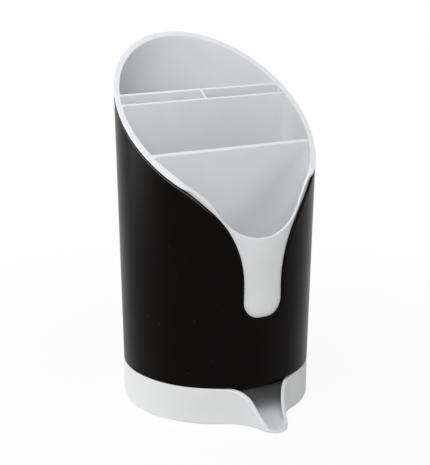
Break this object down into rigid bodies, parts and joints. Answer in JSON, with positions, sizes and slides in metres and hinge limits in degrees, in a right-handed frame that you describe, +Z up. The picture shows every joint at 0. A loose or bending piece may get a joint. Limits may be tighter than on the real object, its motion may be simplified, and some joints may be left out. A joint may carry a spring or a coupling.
{
  "type": "cutlery drainer",
  "caption": "Cutlery drainer: a divided caddy with a slanted rim and a dipped front lip stands in a tapered sleeve, on a drip tray with a pouring spout.",
  "frame": {"origin": "on the table, under the middle of the whole part's outline", "axes": "+Z up, -Y to the front with the spout and the dipped lip, +X to the right for someone facing the front. The axis of the round body stands 8.86 mm behind the origin."},
  "size_m": [0.1256, 0.145, 0.2291],
  "materials": {
    "white_plastic": "satin moulded white",
    "black_plastic": "satin moulded black",
    "foot_rubber": "matt soft grey"
  },
  "bodies": {
    "tray": {"drip_tray": "white_plastic", "foot_front_left": "foot_rubber", "foot_front_right": "foot_rubber", "foot_rear_left": "foot_rubber", "foot_rear_right": "foot_rubber"},
    "sleeve": {"outer_sleeve": "black_plastic"},
    "caddy": {"inner_caddy": "white_plastic"}
  },
  "joints": [
    {"name": "sleeve_lift", "type": "slide", "parent": "tray", "child": "sleeve", "axis": [0, 0, 1], "range_m": [0, 0.04]},
    {"name": "caddy_lift", "type": "slide", "parent": "sleeve", "child": "caddy", "axis": [0, 0, 1], "range_m": [0, 0.21]}
  ]
}
